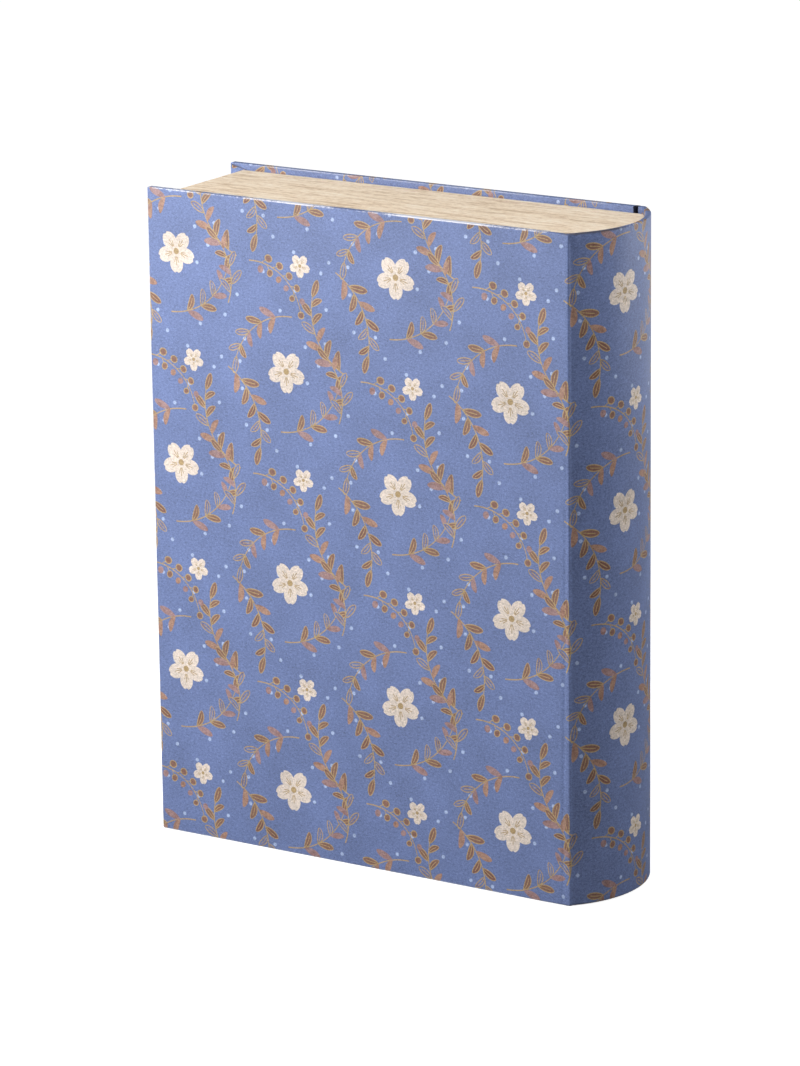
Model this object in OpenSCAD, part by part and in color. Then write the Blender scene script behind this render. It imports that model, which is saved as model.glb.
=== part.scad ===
// Book-shaped storage box, standing on its tail edge.
// X runs from the fore-edge to the spine, Y from the back board to the lid, Z from tail to head.

/* [Book] */
// Height of the covers, from tail edge to head edge
book_h = 260; // [180:1:340]
// Width of the back cover, from the fore-edge to the spine fold
board_w = 187; // [130:1:240]
// Thickness of the closed box, over both covers
book_d = 60; // [45:1:80]
// How far the round spine stands out past its fold
spine_bulge = 13; // [10:0.5:20]

/* [Boards] */
// Thickness of the greyboard in the back cover and the lid
board_t = 2.2; // [1.8:0.1:3]
// Thickness of the curved card in the spine
shell_t = 1.6; // [1:0.1:2]
// Thickness of the tray walls
wall_t = 4; // [3.6:0.1:6]
// Thickness of the tray floor
floor_t = 1.5; // [1:0.1:3]

/* [Papers] */
// Thickness of the printed covering paper
cover_t = 0.25; // [0.15:0.05:0.4]
// Thickness of the page-edge paper round the tray
page_t = 0.2; // [0.1:0.05:0.3]
// Thickness of the plain lining paper
lining_t = 0.2; // [0.1:0.05:0.3]
// Width of covering paper turned in behind each board edge
turn_in = 15; // [10:1:25]
// Margin of covering paper left showing round the lid's lining
lining_margin = 5; // [2:0.5:8]

/* [Squares] */
// Overhang of the covers past the tray at head and tail
head_square = 2.4; // [2:0.1:6]
// Overhang of the covers past the tray at the fore-edge
fore_square = 6.5; // [2:0.1:8]

/* [Hinge] */
// Gap between the lid board and the spine, which the paper hinge spans
hinge_gap = 1.6; // [1.2:0.1:4]
// Width of the spine's flat lip beside the hinge gap
spine_lip = 2.4; // [2:0.1:6]
// How far the closed lid rests on the spine wall
lid_seat = 2.4; // [1:0.1:3]
// Width of the hinge strip pasted inside the lid
hinge_flange = 14; // [8:1:30]

/* [Magnets] */
// Length of each magnet bar, along the fore-edge
magnet_l = 12; // [6:1:20]
// Width of each magnet bar, across the wall
magnet_w = 3; // [2:0.1:3.2]
// Depth of each magnet bar in the wall
magnet_h = 2; // [1.5:0.5:4]
// Distance between the two magnets, centre to centre
magnet_span = 150; // [60:5:160]
// Length of each steel keeper in the lid
keeper_l = 14; // [8:1:24]
// Width of each steel keeper
keeper_w = 5; // [3:0.5:8]
// Thickness of each steel keeper
keeper_t = 0.8; // [0.5:0.1:1.2]

/* [Fits] */
// Clearance between the closed lid and the tray's rim
lid_clear = 0.2; // [0.1:0.05:0.5]
// Clearance between the tray and the inside of the spine
spine_fit = 0.1; // [0.05:0.05:0.3]
// Clearance round each magnet and keeper in its pocket
pocket_fit = 0.05; // [0.02:0.01:0.1]

/* [Hidden] */
$fn = 96;

// Colours of the finished object
print_blue = [0.42, 0.49, 0.72];
page_cream = [0.86, 0.78, 0.66];
lining_ivory = [0.93, 0.90, 0.84];
greyboard = [0.62, 0.58, 0.52];
steel = [0.75, 0.76, 0.78];

// Outer planes, with the origin under the middle of the closed box
fore_x = -(board_w + spine_bulge) / 2;
fold_x = fore_x + board_w;
back_y = -book_d / 2;
front_y = book_d / 2;

// The spine's arc runs through both folds and the middle of the bulge
spine_r = (spine_bulge * spine_bulge + front_y * front_y) / (2 * spine_bulge);
spine_cx = fold_x + spine_bulge - spine_r;

// Hinge gap, between the lip of the spine and the lid board
lip_x = fold_x - spine_lip;
lid_x = lip_x - hinge_gap;

// Planes of the back cover and the tray standing on it
back_board_y = back_y + cover_t;
tray_y = back_board_y + board_t + cover_t;
floor_top_y = tray_y + floor_t + lining_t;

// Planes of the lid, with its inner face at lid_in_y, and the tray's rim below it
lid_board_y = front_y - cover_t - board_t;
lid_in_y = lid_board_y - cover_t - lining_t;
rim_y = lid_in_y - lid_clear;

// Tray, from its outer papers inwards
tray_fore_x = fore_x + fore_square;
tray_tail_z = head_square;
tray_head_z = book_h - head_square;
fore_wall_x = tray_fore_x + page_t;
spine_wall_x = lid_x - lid_seat;
room_x0 = fore_wall_x + wall_t;
room_z0 = tray_tail_z + page_t + wall_t;
room_z1 = tray_head_z - page_t - wall_t;

// Depth from the outer surface to the tray's curved ends, through cover, card and turn-in
spine_depth = 2 * cover_t + shell_t + spine_fit;

// Middle of the fore-edge wall, where the magnets meet the keepers
magnet_x = fore_wall_x + wall_t / 2;

// A box given by its two corners
module span(a, b) {
    translate(a) cube(b - a);
}

// Plan outline of the closed book, moved inwards by a depth
module plan(depth) {
    intersection() {
        translate([fore_x + depth, back_y + depth])
            square([board_w + spine_bulge, book_d - 2 * depth]);
        union() {
            translate([fore_x, back_y])
                square([spine_cx - fore_x, book_d]);
            translate([spine_cx, 0])
                circle(r = spine_r - depth);
        }
    }
}

// The stretch of plan that the spine takes: all past the fold, and the lip beside the hinge
module spine_zone() {
    translate([fold_x, back_y])
        square([spine_bulge, book_d]);
    translate([lip_x, 0])
        square([spine_lip, front_y]);
}

// A layer of the spine between two depths, as a plan shape
module spine_layer(outer, inner) {
    intersection() {
        difference() {
            plan(outer);
            plan(inner);
        }
        spine_zone();
    }
}

// Covering paper round a board: outer face, three edges and the turn-ins behind them
module wrapped_paper(x_end) {
    difference() {
        span([fore_x, 0, 0], [x_end, 2 * cover_t + board_t, book_h]);
        span([fore_x + cover_t, cover_t, cover_t],
             [x_end + 1, cover_t + board_t, book_h - cover_t]);
        span([fore_x + turn_in, cover_t + board_t / 2, turn_in],
             [x_end + 1, 2 * cover_t + board_t + 1, book_h - turn_in]);
    }
}

// End wall of the tray, straight at the fore-edge and round where it meets the spine
module end_wall(z0, thickness, x0, y0, y1) {
    translate([0, 0, z0])
        linear_extrude(thickness)
            intersection() {
                plan(spine_depth);
                translate([x0, y0])
                    square([board_w + spine_bulge, y1 - y0]);
            }
}

// Page-edge paper on an end wall, folded over the wall's rim
module end_page_paper(face_z, fold_z) {
    end_wall(face_z, page_t, fore_wall_x, tray_y, rim_y - page_t);
    end_wall(fold_z, page_t + wall_t + lining_t, fore_wall_x, rim_y - page_t, rim_y);
}

// Lining of an end wall, between the fore-edge wall and the spine wall
module end_lining(z0) {
    span([room_x0, floor_top_y, z0],
         [spine_wall_x, rim_y - page_t, z0 + lining_t]);
}

// Two bars or plates on the fore-edge wall's middle, set apart by magnet_span
module pair_at(y0, length, width, height) {
    for (side = [-1, 1])
        translate([magnet_x - width / 2, y0, book_h / 2 + side * magnet_span / 2 - length / 2])
            cube([width, height, length]);
}

module back_board() {
    color(greyboard)
        span([fore_x + cover_t, back_board_y, cover_t],
             [fold_x, back_board_y + board_t, book_h - cover_t]);
}

module back_cover_paper() {
    color(print_blue)
        translate([0, back_y, 0])
            wrapped_paper(fold_x);
}

module spine_shell() {
    color(greyboard)
        translate([0, 0, cover_t])
            linear_extrude(book_h - 2 * cover_t)
                spine_layer(cover_t, cover_t + shell_t);
}

module spine_cover_paper() {
    color(print_blue) {
        linear_extrude(book_h)
            spine_layer(0, cover_t);
        for (z = [0, book_h - cover_t])
            translate([0, 0, z])
                linear_extrude(cover_t)
                    spine_layer(0, 2 * cover_t + shell_t);
        for (z = [0, book_h - turn_in])
            translate([0, 0, z])
                linear_extrude(turn_in)
                    spine_layer(cover_t + shell_t, 2 * cover_t + shell_t);
    }
}

module tray_floor() {
    color(greyboard)
        span([room_x0, tray_y, room_z0],
             [spine_wall_x, tray_y + floor_t, room_z1]);
}

module head_wall() {
    color(greyboard)
        end_wall(room_z1, wall_t, fore_wall_x, tray_y, rim_y - page_t);
}

module tail_wall() {
    color(greyboard)
        end_wall(room_z0 - wall_t, wall_t, fore_wall_x, tray_y, rim_y - page_t);
}

module fore_edge_wall() {
    color(greyboard)
        difference() {
            span([fore_wall_x, tray_y, room_z0],
                 [room_x0, rim_y - page_t, room_z1]);
            pair_at(rim_y - page_t - magnet_h - pocket_fit,
                    magnet_l + 2 * pocket_fit,
                    magnet_w + 2 * pocket_fit,
                    magnet_h + 1);
        }
}

module spine_wall() {
    color(greyboard)
        span([spine_wall_x, tray_y, room_z0],
             [spine_wall_x + wall_t, rim_y - lining_t, room_z1]);
}

module head_page_paper() {
    color(page_cream)
        end_page_paper(tray_head_z - page_t, tray_head_z - page_t - wall_t - lining_t);
}

module tail_page_paper() {
    color(page_cream)
        end_page_paper(tray_tail_z, tray_tail_z);
}

module fore_edge_page_paper() {
    color(page_cream) {
        span([tray_fore_x, tray_y, tray_tail_z],
             [tray_fore_x + page_t, rim_y, tray_head_z]);
        span([tray_fore_x, rim_y - page_t, room_z0 + lining_t],
             [room_x0 + lining_t, rim_y, room_z1 - lining_t]);
    }
}

module floor_lining() {
    color(lining_ivory)
        span([room_x0, floor_top_y - lining_t, room_z0],
             [spine_wall_x, floor_top_y, room_z1]);
}

module head_lining() {
    color(lining_ivory)
        end_lining(room_z1 - lining_t);
}

module tail_lining() {
    color(lining_ivory)
        end_lining(room_z0);
}

module fore_edge_lining() {
    color(lining_ivory)
        span([room_x0, floor_top_y, room_z0 + lining_t],
             [room_x0 + lining_t, rim_y - page_t, room_z1 - lining_t]);
}

module spine_lining() {
    color(lining_ivory)
        span([spine_wall_x - lining_t, floor_top_y, room_z0 + lining_t],
             [spine_wall_x, rim_y - lining_t, room_z1 - lining_t]);
}

module closing_magnets() {
    color(steel)
        pair_at(rim_y - page_t - magnet_h, magnet_l, magnet_w, magnet_h);
}

// Stretch of the covering paper that spans the hinge gap and bends with the lid
module outer_hinge_paper() {
    color(print_blue)
        span([lid_x, front_y - cover_t, 0],
             [lip_x, front_y, book_h]);
}

// Strip inside the joint: from the lid's inner face, round the groove and onto the spine wall
module inner_hinge_strip() {
    groove_y = front_y - cover_t;
    color(lining_ivory)
        translate([0, 0, room_z0 + lining_t])
            linear_extrude(room_z1 - room_z0 - 2 * lining_t) {
                translate([lid_x - hinge_flange, lid_in_y])
                    square([hinge_flange + lining_t, lining_t]);
                translate([lid_x, lid_in_y])
                    square([lining_t, groove_y - lid_in_y]);
                translate([lid_x, groove_y - lining_t])
                    square([hinge_gap, lining_t]);
                translate([lip_x - lining_t, rim_y - lining_t])
                    square([lining_t, groove_y - rim_y + lining_t]);
                translate([spine_wall_x - lining_t, rim_y - lining_t])
                    square([lip_x - spine_wall_x + lining_t, lining_t]);
            }
}

module lid_board() {
    color(greyboard)
        difference() {
            span([fore_x + cover_t, lid_board_y, cover_t],
                 [lid_x, lid_board_y + board_t, book_h - cover_t]);
            pair_at(lid_board_y - 1,
                    keeper_l + 2 * pocket_fit,
                    keeper_w + 2 * pocket_fit,
                    keeper_t + pocket_fit + 1);
        }
}

module lid_cover_paper() {
    color(print_blue)
        translate([0, front_y, 0])
            mirror([0, 1, 0])
                wrapped_paper(lid_x);
}

// Lining inside the lid, pasted to the board between the turn-ins and over their edges
module lid_lining() {
    color(lining_ivory) {
        span([fore_x + lining_margin, lid_in_y, lining_margin],
             [lid_x - hinge_flange, lid_in_y + lining_t, book_h - lining_margin]);
        span([fore_x + turn_in, lid_in_y, turn_in],
             [lid_x - hinge_flange, lid_board_y, book_h - turn_in]);
    }
}

module lid_keepers() {
    color(steel)
        pair_at(lid_board_y, keeper_l, keeper_w, keeper_t);
}

back_board();
back_cover_paper();
spine_shell();
spine_cover_paper();
tray_floor();
head_wall();
tail_wall();
fore_edge_wall();
spine_wall();
head_page_paper();
tail_page_paper();
fore_edge_page_paper();
floor_lining();
head_lining();
tail_lining();
fore_edge_lining();
spine_lining();
closing_magnets();
outer_hinge_paper();
inner_hinge_strip();
lid_board();
lid_cover_paper();
lid_lining();
lid_keepers();
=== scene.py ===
"""Looks of a book-shaped keepsake box that stands on its tail edge, with the lid as the far cover.

X runs from the fore-edge to the spine, Y from the back cover to the lid, Z from tail to head, in metres.
Printed paper covers the boards and the round spine, cream page-edge paper the tray, plain paper the inside.
"""

import math

import bmesh
import bpy
import numpy as np
from mathutils import Matrix, Vector


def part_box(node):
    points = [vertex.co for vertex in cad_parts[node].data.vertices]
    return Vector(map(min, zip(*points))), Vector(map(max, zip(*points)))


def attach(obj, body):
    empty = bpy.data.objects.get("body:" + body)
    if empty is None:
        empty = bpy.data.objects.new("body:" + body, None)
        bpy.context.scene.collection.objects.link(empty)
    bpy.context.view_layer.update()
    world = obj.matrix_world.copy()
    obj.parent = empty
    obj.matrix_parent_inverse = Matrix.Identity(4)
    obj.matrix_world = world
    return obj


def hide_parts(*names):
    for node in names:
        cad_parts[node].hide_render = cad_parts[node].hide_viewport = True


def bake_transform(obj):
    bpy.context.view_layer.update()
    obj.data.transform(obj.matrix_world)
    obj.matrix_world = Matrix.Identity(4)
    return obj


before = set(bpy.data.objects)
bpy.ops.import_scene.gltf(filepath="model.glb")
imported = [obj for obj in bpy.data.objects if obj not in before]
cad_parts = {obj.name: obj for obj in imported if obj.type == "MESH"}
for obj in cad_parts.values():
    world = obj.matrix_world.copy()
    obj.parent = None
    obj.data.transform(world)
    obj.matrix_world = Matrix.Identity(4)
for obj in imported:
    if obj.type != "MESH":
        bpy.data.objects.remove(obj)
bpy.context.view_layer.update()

MM = 0.001

# Outer planes of the closed box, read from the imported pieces
BACK_LOW, BACK_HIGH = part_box("back_cover_paper")
HINGE_LOW, HINGE_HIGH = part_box("outer_hinge_paper")
FORE_X = BACK_LOW.x
FOLD_X = BACK_HIGH.x
SPINE_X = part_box("spine_cover_paper")[1].x
BACK_Y = BACK_LOW.y
TRAY_Y = BACK_HIGH.y
FRONT_Y = HINGE_HIGH.y
TAIL_Z = BACK_LOW.z
HEAD_Z = BACK_HIGH.z
LID_X = HINGE_LOW.x
LIP_X = HINGE_HIGH.x
PAPER = HINGE_HIGH.y - HINGE_LOW.y
BOARD_T = TRAY_Y - BACK_Y

# Planes of the tray and of the lid's inside
HEAD_PAGE_LOW, HEAD_PAGE_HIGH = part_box("head_page_paper")
TAIL_PAGE_LOW, TAIL_PAGE_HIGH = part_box("tail_page_paper")
FORE_PAGE_LOW, FORE_PAGE_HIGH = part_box("fore_edge_page_paper")
RIM_Y = HEAD_PAGE_HIGH.y
LID_BOARD_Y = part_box("lid_board")[0].y
LID_IN_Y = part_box("lid_lining")[0].y
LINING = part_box("floor_lining")[1].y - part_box("floor_lining")[0].y
PAGE_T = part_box("fore_edge_wall")[0].x - FORE_PAGE_LOW.x
SPINE_WALL_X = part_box("spine_wall")[0].x
TURN_IN = 15 * MM

# The paper's seam, hidden on the flat of the back cover
SEAM_X = FOLD_X - 8 * MM

# The spine's round, an arc through both folds and the middle of the bulge, and the layers on it
SPINE_R = ((SPINE_X - FOLD_X) ** 2 + FRONT_Y ** 2) / (2 * (SPINE_X - FOLD_X))
SPINE_CX = SPINE_X - SPINE_R
SPINE_CARD = 1.6 * MM
SPINE_T = SPINE_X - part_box("spine_shell")[1].x + SPINE_CARD + PAPER

# Thickness of the printed sheets
SHEET = 0.22 * MM

# How far below the spine's head edge, and above its tail edge, the snips in its paper begin
SNIP_START = 0.9 * MM

# Radii of the folds at board edges, beside the spine and at the tray's rim
EDGE_R = 0.55 * MM
FOLD_R = 1.5 * MM
PAGE_R = 0.35 * MM

# Over this stretch a sheet's waves die away towards a seam
FADE = 6 * MM

# Painted light on the near board's head edge, over all of its width, on top of the edge mask's abrasion,
# which is 1 at the corners of an edge
HEAD_EDGE_PAINTED_LIGHT = 3.0


def srgb(red, green, blue):
    """Scene-linear colour of a display colour given from 0 to 255."""
    c = np.array([red, green, blue]) / 255
    linear = np.where(c <= 0.04045, c / 12.92, ((c + 0.055) / 1.055) ** 2.4)
    return (*linear.tolist(), 1.0)


# Mesh helpers

def rounded(corners, radius, steps=8):
    """A line through the corners with each inner corner replaced by a tangent arc of the radius.

    The arc starts radius * tan(turn / 2) before the corner, but takes less than half of a side.
    Its points are the two tangent points swept about the arc's centre.
    """
    most = 0.499
    corners = np.array(corners, float)
    line = [corners[0]]
    for before, corner, after in zip(corners[:-2], corners[1:-1], corners[2:]):
        a = (before - corner) / np.linalg.norm(before - corner)
        b = (after - corner) / np.linalg.norm(after - corner)
        half = math.acos(float(np.clip(a @ b, -1, 1))) / 2
        reach = min(radius / math.tan(half), most * np.linalg.norm(before - corner),
                    most * np.linalg.norm(after - corner))
        middle = (a + b) / np.linalg.norm(a + b) * reach / math.cos(half)
        start, stop = a * reach - middle, b * reach - middle
        turn = np.linspace(0, 1, steps + 1)[:, None]
        angle = math.pi - 2 * half
        arc = (np.sin((1 - turn) * angle) * start + np.sin(turn * angle) * stop) / math.sin(angle)
        line.extend(corner + middle + arc)
    line.append(corners[-1])
    return np.array(line)


def spread(line, step):
    """The line with every stretch longer than the step cut into equal shorter ones."""
    out = [line[:1]]
    for a, b in zip(line[:-1], line[1:]):
        parts = max(1, int(math.ceil(np.linalg.norm(b - a) / step)))
        out.append(a + (b - a) * (np.arange(1, parts + 1) / parts)[:, None])
    return np.concatenate(out)


def lengths(line):
    """Distance along the line at each of its points."""
    return np.concatenate([[0], np.cumsum(np.linalg.norm(np.diff(line, axis=0), axis=1))])


def stack(*parts):
    """Points or pairs from arrays of their parts, which broadcast to one grid."""
    return np.stack(np.broadcast_arrays(*parts), -1)


def swept(section, z):
    """A section of pairs (x, y) repeated at each height z."""
    return stack(section[None, :, 0], section[None, :, 1], z)


def new_object(name, data):
    """An object of a mesh, light or camera, in the scene."""
    made = bpy.data.objects.new(name, data)
    bpy.context.scene.collection.objects.link(made)
    return made


def new_piece(name, grids, thickness=0.0):
    """A mesh from grids of points, each a tuple (points, places on the flat paper, edge mask, turned).

    Faces join each point to its neighbours along both parameters, turned ones the other way round.
    Seams between grids and collapsed corners are welded, and the sheet gets its thickness inwards.
    """
    points, faces, flats, edges = [], [], [], []
    count = 0
    for place, flat, edge, turned in grids:
        rows, columns = place.shape[:2]
        index = count + np.arange(rows * columns).reshape(rows, columns)
        quad = np.stack([index[:-1, :-1], index[1:, :-1], index[1:, 1:], index[:-1, 1:]], -1)
        faces.append(quad.reshape(-1, 4)[:, ::-1] if turned else quad.reshape(-1, 4))
        points.append(place.reshape(-1, 3))
        flats.append(np.broadcast_to(flat, (rows, columns, 2)).reshape(-1, 2))
        edges.append(np.broadcast_to(edge, (rows, columns)).reshape(-1))
        count += rows * columns
    points, faces = np.concatenate(points), np.concatenate(faces)
    flats, edges = np.concatenate(flats), np.concatenate(edges)
    mesh = bpy.data.meshes.new(name)
    mesh.from_pydata(points.tolist(), [], faces.tolist())
    layer = mesh.uv_layers.new(name="paper")
    layer.uv.foreach_set("vector", flats[faces.ravel()].astype(np.float32).ravel())
    mesh.attributes.new("edge", "FLOAT", "POINT").data.foreach_set("value", edges.astype(np.float32))
    welded = bmesh.new()
    welded.from_mesh(mesh)
    bmesh.ops.remove_doubles(welded, verts=welded.verts, dist=0.001 * MM)
    welded.to_mesh(mesh)
    welded.free()
    mesh.shade_smooth()
    crisp_rims(mesh)
    piece = new_object(name, mesh)
    if thickness:
        solid = piece.modifiers.new("Paper thickness", "SOLIDIFY")
        solid.thickness = thickness
        solid.offset = -1
        solid.use_even_offset = True
    return piece


def crisp_rims(mesh):
    """Marks a sheet's open rims as sharp, so that its shading stays flat up to a seam.

    A rim edge is one that a single face uses: its count among the edges of all faces is 1.
    """
    used = np.empty(len(mesh.loops), np.int32)
    mesh.loops.foreach_get("edge_index", used)
    rim = np.bincount(used, minlength=len(mesh.edges)) == 1
    sharp = mesh.attributes.get("sharp_edge") or mesh.attributes.new("sharp_edge", "BOOLEAN", "EDGE")
    sharp.data.foreach_set("value", rim)


def settle(piece):
    """Fixes the modifiers of a piece in its mesh."""
    evaluated = piece.evaluated_get(bpy.context.evaluated_depsgraph_get())
    mesh = bpy.data.meshes.new_from_object(evaluated)
    piece.modifiers.clear()
    piece.data = mesh


# Papers

def edge_profile(depth):
    """Section of paper round a board's edge: pairs (how far out, how deep), with round corners.

    Out is measured from the flat face's rim, which lies EDGE_R inside the board's outline.
    """
    return rounded([(0, 0), (EDGE_R, 0), (EDGE_R, depth), (0, depth)], EDGE_R, 6)


def ripple(x, z, seed):
    """Faint waves of pasted paper: three sines in x and z, up to 0.04 mm high in all."""
    phase = seed * 1.7
    return 0.014 * MM * (np.sin(x / 0.031 + 1.3 * z / 0.042 + phase)
                         + np.sin(z / 0.023 - x / 0.058 + 2.1 * phase)
                         + 0.8 * np.sin(x / 0.013 + z / 0.017 + 0.7 * phase))


def board_wrap(name, face_y, inward, x_end, sheet_x, head_painted_light=0.0):
    """Paper over a board's outer face and round its head, tail and fore-edge.

    The face is a grid in x and z. The edges are the section of edge_profile carried along the
    face's rim: a place is rim + normal * out, sunk by deep, and at the two corners the normal
    turns a quarter about the same rim point. The ripple dies away towards x_end. sheet_x gives
    the place on the flat paper for an x. The pale abrasion is edge_mask, and the last argument
    adds painted light to it on the head edge, over all of its width.
    """
    steps = 100
    x0, z0, z1 = FORE_X + EDGE_R, TAIL_Z + EDGE_R, HEAD_Z - EDGE_R
    xs = np.linspace(x_end, x0, steps)
    zs = np.linspace(z0, z1, steps)
    turn = np.linspace(0, math.pi / 2, 9)[1:-1]

    def deep(x, z, sunk):
        fade = np.clip((x_end - x) / FADE, 0, 1)
        return face_y + inward * (sunk + fade * ripple(x, z, inward))

    face_x, face_z = xs[:, None], zs[None, :]
    face = stack(face_x, deep(face_x, face_z, 0), face_z)
    face_flat = stack(sheet_x(face_x), face_z)

    rim = np.concatenate([
        stack(xs, z0), np.tile([x0, z0], (len(turn), 1)), stack(x0, zs),
        np.tile([x0, z1], (len(turn), 1)), stack(xs[::-1], z1)])
    normal = np.concatenate([
        np.tile([0, -1], (steps, 1)), stack(-np.sin(turn), -np.cos(turn)), np.tile([-1, 0], (steps, 1)),
        stack(-np.cos(turn), np.sin(turn)), np.tile([0, 1], (steps, 1))])
    profile = edge_profile(BOARD_T)
    run = lengths(profile)
    place = rim[:, None] + normal[:, None] * profile[None, :, :1]
    edge = stack(place[..., 0], deep(rim[:, None, 0], rim[:, None, 1], profile[None, :, 1]), place[..., 1])
    flat = rim[:, None] + normal[:, None] * run[None, :, None]
    edge_flat = stack(sheet_x(flat[..., 0]), flat[..., 1])
    band = np.clip(np.minimum(run, run[-1] - run) / (0.5 * MM), 0, 1)
    at_head = np.clip(normal[:, 1:] * 5 - 4, 0, 1)
    # Abrasion at the round corners, and painted light over the whole head edge
    worn_and_lit = edge_mask(run)[None] + head_painted_light * band[None] * at_head
    return new_piece(name, [(face, face_flat, 0.0, inward > 0),
                            (edge, edge_flat, worn_and_lit, inward < 0)], SHEET)


def edge_mask(run):
    """1 at the two round corners of an edge section and 0 at their ends, by distance along it."""
    corner = EDGE_R * math.pi / 4
    far = run[-1] - corner
    near = np.minimum(np.abs(run - corner), np.abs(run - far))
    return np.clip(1.3 - 1.3 * near / corner, 0, 1)


def spine_path(depth):
    """Plan of the spine at a depth under its paper: back cover, fold, round, fold and the lip.

    Each fold is an arc that touches a cover's plane and the spine's round. Its radius is FOLD_R
    less the depth, but at least 0.25 mm. The points of the round lie closer near the folds.
    """
    bend = max(FOLD_R - depth, 0.25 * MM)
    radius, fold_y = SPINE_R - depth, FRONT_Y - depth - bend
    fold_x = SPINE_CX + math.sqrt((radius - bend) ** 2 - fold_y ** 2)
    lean = math.atan2(fold_y, fold_x - SPINE_CX)
    small = np.linspace(-math.pi / 2, -lean, 15)
    t = np.linspace(-1, 1, 161)
    big = lean * (1.3 * t - 0.3 * t ** 3)
    near = stack(fold_x + bend * np.cos(small), -fold_y + bend * np.sin(small))
    round_ = stack(SPINE_CX + radius * np.cos(big), radius * np.sin(big))
    flat = np.linspace(SEAM_X, fold_x, 30)[:-1]
    lip = np.linspace(fold_x, LIP_X, 6)[1:]
    return np.concatenate([stack(flat, BACK_Y + depth), near, round_[1:-1],
                           near[::-1] * [1, -1], stack(lip, FRONT_Y - depth)])


SPINE_LINE = spine_path(0)
SPINE_INNER = spine_path(SPINE_T)
SPINE_RUN = lengths(SPINE_LINE)
FOLD_RUN = FOLD_X - SEAM_X


def back_sheet_x(x):
    """Place on the flat paper of a point of the back cover: its own x."""
    return x


def lid_sheet_x(x):
    """Place on the flat paper of a point of the lid: past the spine and the hinge, and on."""
    return SEAM_X + SPINE_RUN[-1] + (LIP_X - x)


def joint_valley(run, z):
    """Depth of the shallow valley where the back board meets the spine: a bell across the joint.

    Its middle drifts from 1 mm past the fold at the head to 2 mm before it at the tail. It is
    0.2 mm deep at the tail, a little less at half the height, and gone near the head edge.
    """
    down = (HEAD_Z - z) / (HEAD_Z - TAIL_Z)
    middle = FOLD_RUN + (1.0 - 3.0 * down) * MM
    full = np.clip((down - 0.12) / 0.38, 0, 1) * (0.7 + 0.3 * down)
    return 0.2 * MM * full * np.exp(-((run - middle) / (0.8 * MM)) ** 2)


def spine_swell(run, z):
    """Height of the ridge past the near fold, and of the lump where paper is turned in over it.

    The ridge is a bell along the spine's plan, 0.6 mm high and 0.95 mm past the fold. The lump is
    one of 1.2 mm, 3.4 mm past it, which dies away down the spine as exp(-down / 3 mm).
    """
    past = (run - FOLD_RUN) / MM
    ridge = 0.6 * np.exp(-((past - 0.95) / 0.75) ** 2)
    lump = 1.2 * np.exp(-((past - 3.4) / 1.9) ** 2 - (HEAD_Z - z) / (3.0 * MM))
    return (ridge + lump) * MM


def near_half(run):
    """Mask of the spine's near half: it rises about the near fold, and falls 22 to 30 mm past it."""
    return np.clip((30 * MM - run + FOLD_RUN) / (8 * MM), 0, 1) * np.clip(run / FOLD_RUN - 0.4, 0, 1)


def on_spine(run, depth):
    """Plan places x and y at distances along the spine's outside and depths inwards from it.

    A place is outer + (inner - outer) * depth / SPINE_T, with both lines taken at the same distance.
    """
    share = depth / SPINE_T
    outer = [np.interp(run, SPINE_RUN, SPINE_LINE[:, axis]) for axis in (0, 1)]
    inner = [np.interp(run, SPINE_RUN, SPINE_INNER[:, axis]) for axis in (0, 1)]
    return [a + (b - a) * share for a, b in zip(outer, inner)]


def spine_sink(run, z):
    """How deep the spine's paper lies under its plan: waves and joint valley less the swellings."""
    fade = np.clip(np.minimum(run, SPINE_RUN[-1] - run) / FADE, 0, 1)
    return fade * ripple(run * 1.3, z, 3) + joint_valley(run, z) - spine_swell(run, z)


def spine_wrap():
    """Paper over the spine's outside between its snipped ends: its plan swept in z.

    The rows lie closer over the last 24 mm below the head, where the lump of spine_swell is.
    """
    dense_z = HEAD_Z - 24 * MM
    low = np.linspace(TAIL_Z + SNIP_START, dense_z, 80)
    high = np.linspace(dense_z, HEAD_Z - SNIP_START, 48)[1:]
    z = np.concatenate([low, high])[None]
    run = SPINE_RUN[:, None]
    place = stack(*on_spine(run, spine_sink(run, z)), z)
    return new_piece("spine_cover_sheet", [(place, stack(SEAM_X + run, z), 0.0, False)], SHEET)


def flat_flap(name, outline, y_of, inward, sheet_of, dark_of=None):
    """A turned-in flap: the four-cornered outline in x and z filled by a grid between its sides.

    A place is the blend of the four corners with weights s and t, where s is denser near the side
    between the first corner and the last. y_of gives its y, sheet_of its place on the flat paper,
    and dark_of its painted shade.
    """
    s = np.linspace(0, 1, 70)[:, None, None] ** 2
    t = np.linspace(0, 1, 50)[None, :, None]
    a, b, c, d = (np.array(p) for p in outline)
    xz = (1 - s) * ((1 - t) * a + t * d) + s * ((1 - t) * b + t * c)
    x, z = xz[..., 0], xz[..., 1]
    place = stack(x, y_of(x, z), z)
    flat = stack(*sheet_of(x, z))
    dark = 0.0 if dark_of is None else dark_of(x, z)
    cross = np.cross(place[1, 0] - place[0, 0], place[0, 1] - place[0, 0])
    return new_piece(name, [(place, flat, dark, cross[1] * inward < 0)], SHEET)


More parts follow.
